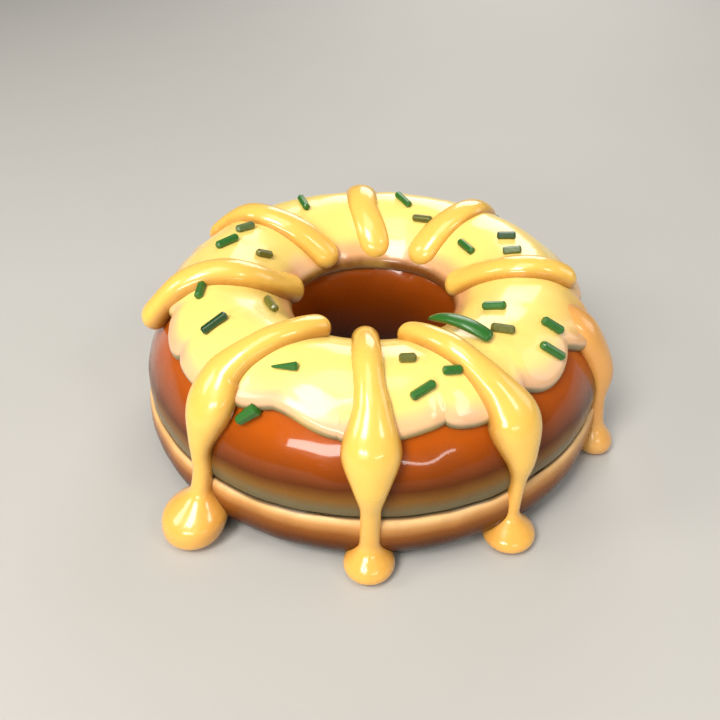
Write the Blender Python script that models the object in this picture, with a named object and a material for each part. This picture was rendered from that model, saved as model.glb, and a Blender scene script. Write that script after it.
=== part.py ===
"""A ring doughnut: fried dough under thick pale icing, with drizzle that runs down to the table.

Metres, +Z up. The doughnut stands on z = 0, and the origin is under the middle of its outline.
A place on the ring is a heading round the axis, in degrees from +X, and an arc round the
section of the ring: arc 0 faces outwards, 90 is the top and 180 faces the hole.
"""

import math
from typing import NamedTuple

import bmesh
import bpy
import numpy as np

MM = 0.001

# Dough: an upper lobe and a squatter lower lobe that meet in a crease
RING_RADIUS = 29.7 * MM          # from the axis to the middle of the section
REACH_OUT = 15.1 * MM            # from there to the outside
REACH_IN = 14.9 * MM             # and to the hole
UPPER_LEVEL = 13.1 * MM          # height at which the upper lobe is widest
DOUGH_RISE = 19.1 * MM           # from that level to the top of the dough
SHOULDER_SLOPE = 0.062           # share by which the outer shoulder falls inside an ellipse
CREASE_HEIGHT = 11.5 * MM
CREASE_DEPTH = 0.35 * MM
CREASE_SHARE = 0.42              # how far round its upper quarter the lower lobe is cut off
CREASE_SPREAD = 5.0 * MM         # height over which the upper lobe curls in to the crease
LOWER_RADIUS = 45.5 * MM         # outside of the lower lobe
LOWER_LEVEL = 7.0 * MM           # height at which the lower lobe is widest
FOOT_OUTER = 38.7 * MM           # the flat ring that the dough stands on
FOOT_INNER = 20.7 * MM

# Unevenness of the whole ring, as shares of its radius and height
SWELL = ((2, 0.0025, 0.6), (3, 0.002, 2.1), (5, 0.001, 4.0))
HEAVE = ((2, 0.004, 1.9), (3, 0.003, 0.4), (7, 0.001, 3.0))

# Icing: a blanket with a rounded lip
ICING = 1.5 * MM                 # thickness on top
LIP = 2.0 * MM                   # width over which the edge rounds down to the dough
LIP_SWELL = 0.2                  # the lip is thicker than the rest by this share
INNER_EDGE = 150.0               # arc of the edge in the hole
ARC_PER_METRE = 1.0 / (0.31 * MM)
ROOT_DEPTH = 1.2 * MM            # how far the uncut icing reaches into the dough
GAP = 0.4 * MM                   # clearance between the icing and the dough

# Outer edge of the icing: heading and arc of each notch, how far the lobe after it hangs, and
# how full that lobe is (small for a broad lobe between sharp notches)
NOTCHES = (
    (12, 47, 6, 0.6), (38, 46, 6, 0.6), (63, 50, 8, 0.7), (88, 47, 5, 0.6), (114, 49, 7, 0.6),
    (140, 46, 5, 0.6), (163, 50, 7, 0.7), (181, 52, 4, 0.6), (197, 55.2, 6, 0.6),
    (212.3, 47.5, 6, 0.6), (229, 47, 3.6, 1.3), (245.5, 50.2, 0, 1.0), (261.5, 41, 3.3, 0.6),
    (285.8, 46.7, 7, 0.6), (308.5, 49, 8.4, 1.0), (329.6, 51.8, 15, 1.3), (352, 52, 6, 0.6))
LOBE_STATIONS = (0.0, 0.14, 0.36, 0.64, 0.86)

# Where the icing itself runs over the edge, it swells
RUN_HEADING = 341.0
RUN_SPREAD = 9.0                 # degrees
RUN_RISE = 1.3 * MM
RUN_START = 84.0                 # arcs between which the swelling rises
RUN_FULL = 48.0

# Sprinkles
SPRINKLE_WIDTH = 1.6 * MM
SPRINKLE_SIDES = 6
SPRINKLE_SINK = 0.15             # share of its width that a sprinkle is sunk

# Mesh density
DOUGH_HEADINGS = 60
CUTTER_HEADINGS = 44
DRIZZLE_SIDES = 9


class Drop(NamedTuple):
    """The part of a line of drizzle that runs down the side and pools on the table."""

    heading: float
    bulge: float          # radius where it gathers at the shoulder
    stem: float           # radius down the side
    pool: float           # radius of the pool
    pool_level: float     # height at which the pool is widest
    flare: float          # height at which the stem starts to widen into the pool
    reach: float          # from the axis to the middle of the pool
    foot: float           # radius of the pool on the table, as a share of its widest
    bulge_height: float = 24.5 * MM
    stem_height: float = 15.0 * MM      # height at which the bulge has narrowed to the stem


class Drizzle(NamedTuple):
    """One line of drizzle across the ring, from the hole outwards."""

    name: str
    heading: float        # over the outer half of the ring
    arc_in: float         # arc of the end in the hole
    arc_out: float        # arc of the outer end, or where the drop leaves the ring
    swirl: float          # heading gained at the inner end
    bend: float           # arc from which the line swirls
    power: float          # how suddenly it does
    trail: float          # heading gained at the outer end
    radius: float
    flat: float           # outward radius, as a share of the sideways one
    lift: float           # height of its middle over the icing
    drop: Drop | None = None
    prop: float = 0.0     # height gained at the hole


LINES = (
    Drizzle("right", 353.8, 144.5, 62, 22.6, 91, 2.2, 3, 2.8 * MM, 0.77, 0.5 * MM),
    Drizzle("back_right", 47.4, 142.6, 41.5, 9.3, 88.5, 1.4, 5.5, 3.3 * MM, 0.6, 0),
    Drizzle("back", 94.1, 143, 20, -8.9, 103, 1.4, 0, 3.35 * MM, 0.62, -0.4 * MM,
            Drop(96, 4.2 * MM, 1.7 * MM, 4.6 * MM, 1.9 * MM, 7 * MM, 46.6 * MM, 0.7)),
    Drizzle("back_left", 141.3, 144.6, 42, -21.1, 82.7, 1.65, 6, 3.25 * MM, 0.77, 0),
    Drizzle("left", 190.1, 146.5, 34, -26.2, 93, 3.1, 0, 3.0 * MM, 0.85, 0.5 * MM),
    Drizzle("front_left", 231, 118, 20, 16.8, 58, 1.4, 0, 2.5 * MM, 0.9, 0.1 * MM,
            Drop(230.5, 4.65 * MM, 1.8 * MM, 6.1 * MM, 4.5 * MM, 9.8 * MM, 49.1 * MM, 0.45, 26.5 * MM, 16.5 * MM),
            1.1 * MM),
    Drizzle("front", 268.9, 140, 20, -4.5, 60, 1.0, 0, 2.4 * MM, 0.95, 0.1 * MM,
            Drop(268.7, 4.6 * MM, 1.75 * MM, 4.5 * MM, 2.1 * MM, 7 * MM, 45.4 * MM, 0.45, 24.5 * MM, 14 * MM)),
    Drizzle("front_right", 302, 121, 20, -18.8, 40, 1.5, 0, 2.4 * MM, 0.95, 0.1 * MM,
            Drop(300.6, 4.45 * MM, 1.35 * MM, 4.6 * MM, 1.9 * MM, 7 * MM, 45.4 * MM, 0.5, 25 * MM, 13.5 * MM),
            0.4 * MM),
    Drizzle("icing_run", 341, 58, 20, 0, 50, 1.0, 0, 2.9 * MM, 0.75, -0.9 * MM,
            Drop(341, 3.9 * MM, 1.6 * MM, 3.6 * MM, 2.2 * MM, 7 * MM, 46.6 * MM, 0.7, 27 * MM, 12 * MM)),
)
STEM_LIFT = 1.0 * MM
BULGE_FLATNESS = 0.4             # share of the bulge's extra radius that it lacks outwards
END_LIFT = -0.5 * MM             # where an outer end settles back onto the icing


class Sprinkle(NamedTuple):
    """One sprinkle on the icing; turn is from the ring's direction towards the hole."""

    heading: float
    arc: float
    turn: float
    length: float = 4.6 * MM
    lift: float = 0.0
    taper: float = 1.0    # size of its first end, as a share of the other
    girth: float = 1.0    # width, as a share of the usual one


SPRINKLES = (
    Sprinkle(120.6, 92.7, 79, 5.0 * MM), Sprinkle(153.3, 92, 152, 4.0 * MM), Sprinkle(166.1, 90, 150, 5.1 * MM),
    Sprinkle(164.7, 115.2, 126, 3.4 * MM), Sprinkle(197.2, 80.7, 159, 4.6 * MM), Sprinkle(216, 77.4, 87, 5.1 * MM),
    Sprinkle(211.7, 117, 171, 4.7 * MM), Sprinkle(245.3, 74.3, 17, 4.4 * MM, 0.0, 0.3),
    Sprinkle(239.6, 43.8, 50, 4.5 * MM, -1.2 * MM, 0.7, 1.6), Sprinkle(279.2, 85.3, 174, 2.8 * MM),
    Sprinkle(290.4, 74, 170, 3.2 * MM), Sprinkle(281.4, 66.6, 24, 4.5 * MM), Sprinkle(75.7, 95.9, 133, 5.3 * MM),
    Sprinkle(62.7, 111.7, 6, 4.2 * MM), Sprinkle(27.9, 118.8, 178, 4.8 * MM), Sprinkle(19.9, 94.4, 61, 3.7 * MM),
    Sprinkle(8.3, 98.2, 73, 3.6 * MM), Sprinkle(324.5, 103.1, 102, 4.2 * MM), Sprinkle(313.2, 85.6, 131, 4.0 * MM),
    Sprinkle(328.2, 69.4, 111, 4.3 * MM), Sprinkle(321.5, 60.1, 122, 5.1 * MM), Sprinkle(48.5, 49.5, 174),
    Sprinkle(70, 48.5, 8), Sprinkle(79, 52, 165), Sprinkle(104, 49, 170), Sprinkle(111, 52, 14),
    Sprinkle(126, 49.5, 10))

# One long sliver lies beside the front right line, propped up at the hole
SLIVER_START = (306.6, 83.0, 0.7 * MM)       # heading, arc and height over the icing
SLIVER_END = (296.5, 117.0, 2.4 * MM)
SLIVER_WIDTH = 3.1 * MM
SLIVER_THICKNESS = 1.7 * MM
SLIVER_ARCH = 0.6 * MM
SLIVER_SIDES = 6


def clear_scene():
    """Remove every object."""
    for old in list(bpy.data.objects):
        bpy.data.objects.remove(old, do_unlink=True)


def principled(name, colour, roughness):
    """A plain Principled material."""
    material = bpy.data.materials.new(name)
    material.use_nodes = True
    shader = material.node_tree.nodes["Principled BSDF"]
    shader.inputs["Base Color"].default_value = (*colour, 1.0)
    shader.inputs["Roughness"].default_value = roughness
    shader.inputs["Metallic"].default_value = 0.0
    return material


def ease(x, lows, values):
    """Values at rising stations, joined by curves that are level at each station."""
    x = np.asarray(x, float)
    span = np.clip(np.searchsorted(lows, x, side="right") - 1, 0, len(lows) - 2)
    lows, values = np.asarray(lows), np.asarray(values)
    t = np.clip((x - lows[span]) / (lows[span + 1] - lows[span]), 0, 1)
    return values[span] + (values[span + 1] - values[span]) * t * t * (3 - 2 * t)


def uneven(points):
    """Swell and heave the ring a little, in the same way for all that lies on it."""
    points = np.array(points, float)
    heading = np.arctan2(points[:, 1], points[:, 0])
    swell = 1 + sum(share * np.sin(waves * heading + phase) for waves, share, phase in SWELL)
    heave = 1 + sum(share * np.sin(waves * heading + phase) for waves, share, phase in HEAVE)
    points[:, :2] *= swell[:, None]
    points[:, 2] *= heave
    return points


def section_point(arc):
    """Point of the upper lobe, out and up from the middle of the section."""
    turn = np.radians(arc)
    outer = np.cos(turn) > 0
    shoulder = np.where(outer & (np.sin(turn) > 0), np.sin(2 * turn) ** 2, 0)
    size = 1 - SHOULDER_SLOPE * shoulder
    return np.where(outer, REACH_OUT, REACH_IN) * np.cos(turn) * size, DOUGH_RISE * np.sin(turn) * size


def section(arc):
    """Point and outward normal of the dough's upper lobe, in the plane of the section."""
    arc = np.asarray(arc, float)
    out, up = section_point(arc)
    (out_1, up_1), (out_0, up_0) = section_point(arc + 0.2), section_point(arc - 0.2)
    size = np.hypot(out_1 - out_0, up_1 - up_0)
    return RING_RADIUS + out, UPPER_LEVEL + up, (up_1 - up_0) / size, (out_0 - out_1) / size


def on_ring(heading, arc, lift):
    """Points at a height over the dough, before the unevenness."""
    radius, height, out, up = section(arc)
    turn = np.radians(heading)
    radius = radius + out * lift
    return np.stack([radius * np.cos(turn), radius * np.sin(turn), height + up * lift], axis=-1)


def arc_spread(start, end, steps):
    """Angles from one to another in degrees, in radians, without the last."""
    return np.radians(np.linspace(start, end, steps, endpoint=False))


def dough_outline(grow=0.0):
    """Outline of the dough's section, as radius and height, grown outwards if asked."""
    down = arc_spread(-90, 0, 5)
    rise = (CREASE_HEIGHT - LOWER_LEVEL) / CREASE_SHARE
    up = arc_spread(0, math.degrees(math.asin(CREASE_SHARE)), 3)
    lower = [(FOOT_OUTER + (LOWER_RADIUS - FOOT_OUTER) * math.cos(a),
              LOWER_LEVEL + (LOWER_LEVEL if a < 0 else rise) * math.sin(a)) for a in (*down, *up)]
    start = math.degrees(math.asin((CREASE_HEIGHT - UPPER_LEVEL) / DOUGH_RISE))
    radius, height, _, _ = section(np.concatenate([[start, 2.0, 9.0], np.linspace(19, 180, 14)]))
    curl = np.clip(1 - (height - CREASE_HEIGHT) / CREASE_SPREAD, 0, 1) * (radius > RING_RADIUS)
    upper = list(zip(radius - CREASE_DEPTH * curl ** 2, height))
    inner = [(FOOT_INNER - (FOOT_INNER - RING_RADIUS + REACH_IN) * math.cos(a),
              UPPER_LEVEL - UPPER_LEVEL * math.sin(a)) for a in arc_spread(18, 108, 5)]
    loop = np.array(lower + upper + inner)
    if not grow:
        return loop
    along = np.roll(loop, -1, axis=0) - np.roll(loop, 1, axis=0)
    normal = np.stack([along[:, 1], -along[:, 0]], axis=1)
    return loop + grow * normal / np.linalg.norm(normal, axis=1)[:, None]


def ring_mesh(name, rings, closed_rings=True, closed_line=False, caps=False):
    """A mesh from an array of rings of points: quads between rings, and a face on each end."""
    count, sides, _ = rings.shape
    faces = []
    for i in range(count if closed_line else count - 1):
        low, high = i * sides, (i + 1) % count * sides
        for j in range(sides if closed_rings else sides - 1):
            k = (j + 1) % sides
            faces.append((low + j, low + k, high + k, high + j))
    if caps:
        faces.append(tuple(reversed(range(sides))))
        faces.append(tuple(range((count - 1) * sides, count * sides)))
    mesh = bpy.data.meshes.new(name)
    mesh.from_pydata(rings.reshape(-1, 3).tolist(), [], faces)
    tidy_mesh(mesh)
    return mesh


def tidy_mesh(mesh):
    """Merge doubled points, split the faces into triangles and point them outwards."""
    work = bmesh.new()
    work.from_mesh(mesh)
    bmesh.ops.remove_doubles(work, verts=work.verts, dist=1e-6)
    bmesh.ops.triangulate(work, faces=work.faces)
    bmesh.ops.recalc_face_normals(work, faces=work.faces)
    work.to_mesh(mesh)
    work.free()
    mesh.shade_smooth()


def new_object(mesh, collection=None):
    """An object for a mesh, linked to the scene or to a collection."""
    item = bpy.data.objects.new(mesh.name, mesh)
    (collection or bpy.context.scene.collection).objects.link(item)
    return item


def turned(name, outline, headings):
    """A ring turned from an outline, with the unevenness."""
    turn = np.linspace(0, 2 * math.pi, headings, endpoint=False)
    radius, height = outline[:, 0], outline[:, 1]
    rings = np.stack([np.outer(np.cos(turn), radius), np.outer(np.sin(turn), radius),
                      np.outer(np.ones(headings), height)], axis=-1)
    rings = uneven(rings.reshape(-1, 3)).reshape(rings.shape)
    return ring_mesh(name, rings, closed_line=True)


def lobed_edge():
    """Headings round the ring, close together at notches, and the arc of the icing's edge."""
    starts, arcs, sags, fullness = (np.array(column, float) for column in zip(*NOTCHES))
    t = np.array(LOBE_STATIONS)[None, :]
    width = (np.roll(starts, -1) - starts) % 360
    heading = starts[:, None] + width[:, None] * t
    along = t * t * (3 - 2 * t)
    edge = arcs[:, None] * (1 - along) + np.roll(arcs, -1)[:, None] * along
    edge = edge - sags[:, None] * (4 * t * (1 - t)) ** fullness[:, None]
    return heading.ravel(), edge.ravel()


def icing_depth(distance):
    """Thickness of the icing at a distance from its edge: a rounded lip, then level."""
    rounding = np.sqrt(1 - (1 - np.clip(distance / LIP, 0, 1)) ** 2)
    return ICING * rounding * (1 + LIP_SWELL * np.exp(-((distance - LIP) / LIP) ** 2))


def run_swelling(heading, arc, distance):
    """How much thicker the icing is where it runs over the edge."""
    aside = (heading - RUN_HEADING + 180) % 360 - 180
    down = ease(-arc, [-RUN_START, -RUN_FULL], [0.0, 1.0])
    lip = np.sqrt(1 - (1 - np.clip(distance / LIP, 0, 1)) ** 2)
    return RUN_RISE * np.exp(-(aside / RUN_SPREAD) ** 2) * down * lip


def icing_blanket():
    """The icing before the drizzle is joined: over the top, and back inside the dough."""
    heading, outer = lobed_edge()
    lip = np.array([0.0, 0.15, 0.5, 1.0, 1.8]) * LIP * ARC_PER_METRE
    first, last = outer + lip[-1], INNER_EDGE - lip[-1]
    rows = [outer + step for step in lip]
    rows += [first + (last - first) * share for share in np.linspace(0, 1, 8)[1:-1]]
    rows += [np.full_like(outer, INNER_EDGE - step) for step in lip[::-1]]
    arcs = np.stack(rows, axis=1)
    distance = np.minimum(arcs - outer[:, None], INNER_EDGE - arcs) / ARC_PER_METRE
    depth = icing_depth(distance) + run_swelling(heading[:, None], arcs, distance)
    top = on_ring(heading[:, None], arcs, depth)
    under = on_ring(heading[:, None], arcs[:, ::-3], -ROOT_DEPTH)
    rings = np.concatenate([top, under], axis=1)
    rings = uneven(rings.reshape(-1, 3)).reshape(rings.shape)
    return new_object(ring_mesh("icing", rings, closed_line=True))


def line_course(line):
    """Fine points along a line of drizzle, with the outward direction at each."""
    arc = np.linspace(line.arc_in, line.arc_out, 160)
    inward = np.clip((arc - line.bend) / (line.arc_in - line.bend), 0, 1)
    outward = np.clip((line.bend - arc) / (line.bend - line.arc_out), 0, 1)
    heading = line.heading + line.swirl * inward ** line.power + line.trail * outward ** 2
    low = STEM_LIFT if line.drop else ICING + END_LIFT
    level = ICING + line.lift
    lift = ease(arc, [20, 46, 80, 125], [low, level, level, level + line.prop])
    points = on_ring(heading, arc, lift)
    _, _, out, up = section(arc)
    turn = np.radians(heading)
    normals = np.stack([out * np.cos(turn), out * np.sin(turn), up], axis=1)
    if line.drop:
        height = np.linspace(points[-1, 2], 0, 80)[1:]
        fall = 1 - height / points[-1, 2]
        late = np.clip(fall / 0.8 - 0.25, 0, 1)
        share = late * late * (3 - 2 * late)
        before, reach = np.hypot(*points[-2:, :2].T)
        slope = (reach - before) / (points[-2, 2] - points[-1, 2]) * points[-1, 2]
        reach = reach + (line.drop.reach - reach) * share + slope * fall * (1 - fall) ** 4
        turn = np.radians(heading[-1] + (line.drop.heading - heading[-1]) * share)
        side = np.stack([np.cos(turn), np.sin(turn)], axis=1)
        points = np.concatenate([points, np.column_stack([side * reach[:, None], height])])
        normals = np.concatenate([normals, np.column_stack([side, np.zeros(len(side))])])
    return points, normals


def line_radius(line, points, arc_top):
    """Sideways and outward radius along a line, rounded at its ends."""
    step = np.linalg.norm(np.diff(points, axis=0), axis=1)
    run = np.concatenate([[0], np.cumsum(step)])
    wide = np.full(len(points), line.radius)
    if line.drop:
        drop = line.drop
        lows = [0, drop.pool_level, drop.flare, drop.stem_height, drop.bulge_height, arc_top]
        sizes = [drop.pool * drop.foot, drop.pool, drop.stem, drop.stem, drop.bulge, line.radius]
        past = np.arange(len(points)) > int(np.argmax(points[:, 2]))
        wide = np.where(past, ease(points[:, 2], lows, sizes), wide)
        under = np.clip(1 - points[:, 2] / drop.pool_level, 0, 1)
        rounded = drop.pool * (drop.foot + (1 - drop.foot) * np.sqrt(1 - under ** 2))
        wide = np.where(past & (under > 0), rounded, wide)
    flat = wide * line.flat - BULGE_FLATNESS * np.clip(wide - line.radius, 0, None)
    share = 1
    if line.drop:
        share = ease(points[:, 2], [drop.stem_height, drop.bulge_height], [0.0, 1.0])
    deep = wide + (flat - wide) * share
    from_end = run if line.drop else np.minimum(run, run[-1] - run)
    rounding = np.sqrt(1 - (1 - np.clip(from_end / line.radius, 0, 1)) ** 2)
    return run, wide * rounding, deep * rounding


def line_stations(line, run, points):
    """Where rings go along a line: close together at round ends, flares and bulges."""
    start = line.radius * (1 - np.cos(np.radians([15, 45, 90])))
    if not line.drop:
        return np.concatenate([start, np.linspace(start[-1], run[-1] - start[-1], 12)[1:-1],
                               run[-1] - start[::-1]])
    past = int(np.argmax(points[:, 2]))
    heights = np.array([33.0, 31.5, 29.5, 27.5, 25.5, 23.5, 21.5, 19.5, 17.5, 15.5, 10.0]) * MM
    drop = line.drop
    spread = np.array([1.0, 0.75, 0.55, 0.4, 0.2, 0.0])
    flare = drop.pool_level + (drop.flare - drop.pool_level) * spread
    foot = drop.pool_level * np.array([0.6, 0.2, 0.0])
    heights = np.concatenate([heights[heights > drop.flare * 1.05], flare, foot])
    outer = np.interp(-heights, -points[past:, 2], run[past:])
    inner = np.linspace(start[-1], outer[0], 5)[1:-1] if outer[0] > start[-1] * 3 else []
    return np.concatenate([start, inner, outer[outer > start[-1]]])


def drizzle_line(line, collection):
    """One line of drizzle: rings carried along its course."""
    points, normals = line_course(line)
    run, wide, deep = line_radius(line, points, ICING + UPPER_LEVEL + DOUGH_RISE)
    stations = line_stations(line, run, points)
    ahead = np.gradient(points, axis=0)

    def at(values):
        return np.stack([np.interp(stations, run, values[:, k]) for k in range(3)], axis=1)

    centre, along, out = at(points), at(ahead), at(normals)
    along /= np.linalg.norm(along, axis=1)[:, None]
    pooled = centre[:, 2] < (line.drop.flare if line.drop else 0)
    along[pooled] = (0, 0, -1)
    out -= along * np.sum(out * along, axis=1)[:, None]
    out /= np.linalg.norm(out, axis=1)[:, None]
    side = np.cross(along, out)
    turn = np.linspace(0, 2 * math.pi, DRIZZLE_SIDES, endpoint=False)
    wide, deep = np.interp(stations, run, wide), np.interp(stations, run, deep)
    rings = (centre[:, None] + side[:, None] * (wide[:, None] * np.cos(turn))[..., None]
             + out[:, None] * (deep[:, None] * np.sin(turn))[..., None])
    rings = uneven(rings.reshape(-1, 3)).reshape(rings.shape)
    return new_object(ring_mesh("line_" + line.name, rings, caps=True), collection)


def place_frame(heading, arc):
    """Directions at a place: round the ring, over the ring towards the hole, and outwards."""
    turn = math.radians(heading)
    _, _, out, up = section(np.array(arc))
    round_way = np.array([-math.sin(turn), math.cos(turn), 0])
    outwards = np.array([out * math.cos(turn), out * math.sin(turn), up])
    return round_way, np.cross(outwards, round_way), outwards


def sprinkle(number, spec, collection):
    """A short rod with six sides."""
    round_way, inward, outwards = place_frame(spec.heading, spec.arc)
    turn = math.radians(spec.turn)
    axis = round_way * math.cos(turn) + inward * math.sin(turn)
    side = np.cross(outwards, axis)
    lift = ICING + SPRINKLE_WIDTH * (0.5 - SPRINKLE_SINK) + spec.lift
    centre = on_ring(np.array(spec.heading), np.array(spec.arc), lift)
    angles = np.linspace(0, 2 * math.pi, SPRINKLE_SIDES, endpoint=False)
    rim = SPRINKLE_WIDTH / 2 * spec.girth * (np.outer(np.cos(angles), side) + np.outer(np.sin(angles), outwards))
    rings = centre + np.stack([rim * spec.taper - axis * spec.length / 2, rim + axis * spec.length / 2])
    rings = uneven(rings.reshape(-1, 3)).reshape(rings.shape)
    return new_object(ring_mesh(f"sprinkle_{number:02d}", rings, caps=True), collection)


def sliver(collection):
    """The long curved sliver, thick in the middle and propped up at one end."""
    t = np.linspace(0, 1, 7)
    heading, arc, lift = (SLIVER_START[k] + (SLIVER_END[k] - SLIVER_START[k]) * t for k in range(3))
    centre = on_ring(heading, arc, ICING + lift + SLIVER_ARCH * np.sin(math.pi * t))
    along = np.gradient(centre, axis=0)
    along /= np.linalg.norm(along, axis=1)[:, None]
    _, _, out, up = section(arc)
    turn = np.radians(heading)
    outwards = np.stack([out * np.cos(turn), out * np.sin(turn), up], axis=1)
    side = np.cross(along, outwards)
    side /= np.linalg.norm(side, axis=1)[:, None]
    outwards = np.cross(side, along)
    size = 0.5 + 0.5 * np.sin(math.pi * (0.2 + 0.75 * t)) ** 0.8
    size[-1] = 0.12
    angles = np.linspace(0, 2 * math.pi, SLIVER_SIDES, endpoint=False)
    rings = (centre[:, None] + (size * SLIVER_WIDTH / 2)[:, None, None] * side[:, None] * np.cos(angles)[:, None]
             + (size * SLIVER_THICKNESS / 2)[:, None, None] * outwards[:, None] * np.sin(angles)[:, None])
    rings = uneven(rings.reshape(-1, 3)).reshape(rings.shape)
    return new_object(ring_mesh("sliver", rings, caps=True), collection)


def fuse(base, toppings, cutter):
    """Join a collection to the base, cut it clear of the cutter, and keep the one solid left."""
    union = base.modifiers.new("join_toppings", "BOOLEAN")
    union.operation, union.solver = "UNION", "EXACT"
    union.operand_type, union.collection = "COLLECTION", toppings
    cut = base.modifiers.new("clear_of_dough", "BOOLEAN")
    cut.operation, cut.solver, cut.object = "DIFFERENCE", "EXACT", cutter
    bpy.context.view_layer.update()
    depsgraph = bpy.context.evaluated_depsgraph_get()
    mesh = bpy.data.meshes.new_from_object(base.evaluated_get(depsgraph))
    base.modifiers.clear()
    base.data = mesh
    for item in [*toppings.objects, cutter]:
        bpy.data.objects.remove(item, do_unlink=True)
    bpy.data.collections.remove(toppings)
    keep_largest(mesh)


def keep_largest(mesh):
    """Drop the loose scraps that cutting leaves."""
    work = bmesh.new()
    work.from_mesh(mesh)
    bmesh.ops.remove_doubles(work, verts=work.verts, dist=1e-6)
    unseen = set(work.verts)
    pieces = []
    while unseen:
        front = [unseen.pop()]
        piece = []
        while front:
            vert = front.pop()
            piece.append(vert)
            for edge in vert.link_edges:
                other = edge.other_vert(vert)
                if other in unseen:
                    unseen.remove(other)
                    front.append(other)
        pieces.append(piece)
    pieces.sort(key=len)
    for piece in pieces[:-1]:
        bmesh.ops.delete(work, geom=piece, context="VERTS")
    bmesh.ops.triangulate(work, faces=work.faces)
    work.to_mesh(mesh)
    work.free()
    mesh.shade_smooth()


def centre_outline(items):
    """Move the meshes so that the origin is under the middle of their common outline."""
    points = np.concatenate([[tuple(v.co) for v in item.data.vertices] for item in items])
    middle = (points.min(axis=0) + points.max(axis=0)) / 2
    for item in items:
        for vert in item.data.vertices:
            vert.co.x -= middle[0]
            vert.co.y -= middle[1]


def main():
    """Build the dough and the icing."""
    clear_scene()
    dough = new_object(turned("dough", dough_outline(), DOUGH_HEADINGS))
    icing = icing_blanket()
    toppings = bpy.data.collections.new("toppings")
    bpy.context.scene.collection.children.link(toppings)
    for line in LINES:
        drizzle_line(line, toppings)
    for number, spec in enumerate(SPRINKLES):
        sprinkle(number, spec, toppings)
    sliver(toppings)
    cutter = new_object(turned("dough_clearance", dough_outline(GAP), CUTTER_HEADINGS))
    fuse(icing, toppings, cutter)
    centre_outline([dough, icing])
    dough.data.materials.append(principled("fried_dough", (0.50, 0.17, 0.03), 0.3))
    icing.data.materials.clear()
    icing.data.materials.append(principled("butter_icing", (0.95, 0.80, 0.36), 0.25))


main()
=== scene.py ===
"""Looks of a ring doughnut: fried dough, butter icing, drizzle, sprinkles and one long sliver.

Metres, +Z up. A place on the ring is a heading round its axis, in degrees from +X, and an arc
round its section: arc 0 faces outwards, 90 is the top and 180 faces the hole.
"""

import logging
import math
from dataclasses import dataclass, field
from enum import Enum
from typing import Any, Callable, NamedTuple, Optional, Sequence

import bmesh
import bpy
import numpy as np
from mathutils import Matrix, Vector


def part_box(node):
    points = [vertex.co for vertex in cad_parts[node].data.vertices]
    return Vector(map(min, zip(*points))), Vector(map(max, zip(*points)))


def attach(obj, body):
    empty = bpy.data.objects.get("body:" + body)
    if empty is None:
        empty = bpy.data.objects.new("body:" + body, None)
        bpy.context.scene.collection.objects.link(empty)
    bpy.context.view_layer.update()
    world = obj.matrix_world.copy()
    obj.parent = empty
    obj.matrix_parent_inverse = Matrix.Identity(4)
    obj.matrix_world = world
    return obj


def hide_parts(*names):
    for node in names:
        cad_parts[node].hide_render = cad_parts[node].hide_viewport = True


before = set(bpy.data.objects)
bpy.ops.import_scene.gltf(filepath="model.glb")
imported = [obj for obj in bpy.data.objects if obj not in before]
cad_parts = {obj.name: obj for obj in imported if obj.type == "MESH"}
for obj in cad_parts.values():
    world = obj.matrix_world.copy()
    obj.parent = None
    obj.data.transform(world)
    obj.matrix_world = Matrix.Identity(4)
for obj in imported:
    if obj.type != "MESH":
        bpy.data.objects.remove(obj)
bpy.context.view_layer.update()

MM = 0.001
LOG = logging.getLogger("doughnut")
Array = np.ndarray
Colour = tuple[float, float, float]


def srgb(red: float, green: float, blue: float) -> Colour:
    """Linear colour from screen values of 0 to 255: a power curve with a straight foot.

    Args:
        red: Red on the screen.
        green: Green on the screen.
        blue: Blue on the screen.

    Returns:
        The three linear parts, 0 to 1.
    """
    parts = (value / 255 for value in (red, green, blue))
    linear = [part / 12.92 if part <= 0.04045 else ((part + 0.055) / 1.055) ** 2.4 for part in parts]
    return (linear[0], linear[1], linear[2])


def smooth(values: Array, low: Array | float, high: Array | float) -> Array:
    """Smooth step from 0 at low to 1 at high, which may be lower: 3 t squared less 2 t cubed."""
    share = np.clip((np.asarray(values, float) - low) / (high - low), 0, 1)
    return share * share * (3 - 2 * share)


def quarter(share: Array) -> Array:
    """Rise of a quarter circle over a share of 0 to 1: steep at first, level at the end."""
    return np.sqrt(1 - (1 - np.clip(share, 0, 1)) ** 2)


def apart(heading: Array, other: float) -> Array:
    """Degrees from one heading to another, the short way round."""
    return (heading - other + 180) % 360 - 180


def turned(turn: Array, radius: Array, height: Array) -> Array:
    """Points at a radius and a height, turned round the axis by an angle in radians."""
    return np.stack(np.broadcast_arrays(radius * np.cos(turn), radius * np.sin(turn), height), axis=-1)


def ease(values: Array, lows: Sequence[float], levels: Sequence[float]) -> Array:
    """Levels at rising stations, joined by smooth steps.

    Args:
        values: Where the levels are wanted.
        lows: The stations, rising.
        levels: The level at each station.

    Returns:
        The level at each value.
    """
    values = np.asarray(values, float)
    span = np.clip(np.searchsorted(lows, values, side="right") - 1, 0, len(lows) - 2)
    starts, heights = np.asarray(lows, float), np.asarray(levels, float)
    share = smooth(values, starts[span], starts[span + 1])
    return heights[span] + (heights[span + 1] - heights[span]) * share


def soften(values: Array, reach: int = 15) -> Array:
    """Values along a course, averaged over their neighbours by a raised cosine; the ends stay.

    Args:
        values: Values, one row a station.
        reach: How many neighbours on each side count.

    Returns:
        The softened values.
    """
    columns = np.atleast_2d(values.T)
    weights = np.hanning(2 * reach + 3)[1:-1]
    padded = np.pad(columns, ((0, 0), (reach, reach)), mode="reflect", reflect_type="odd")
    soft = np.stack([np.convolve(column, weights / weights.sum(), mode="valid") for column in padded])
    return soft.T.reshape(values.shape)


def unit(vectors: Array) -> Array:
    """Vectors of length one: each divided by its length."""
    return vectors / np.linalg.norm(vectors, axis=-1, keepdims=True)


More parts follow.
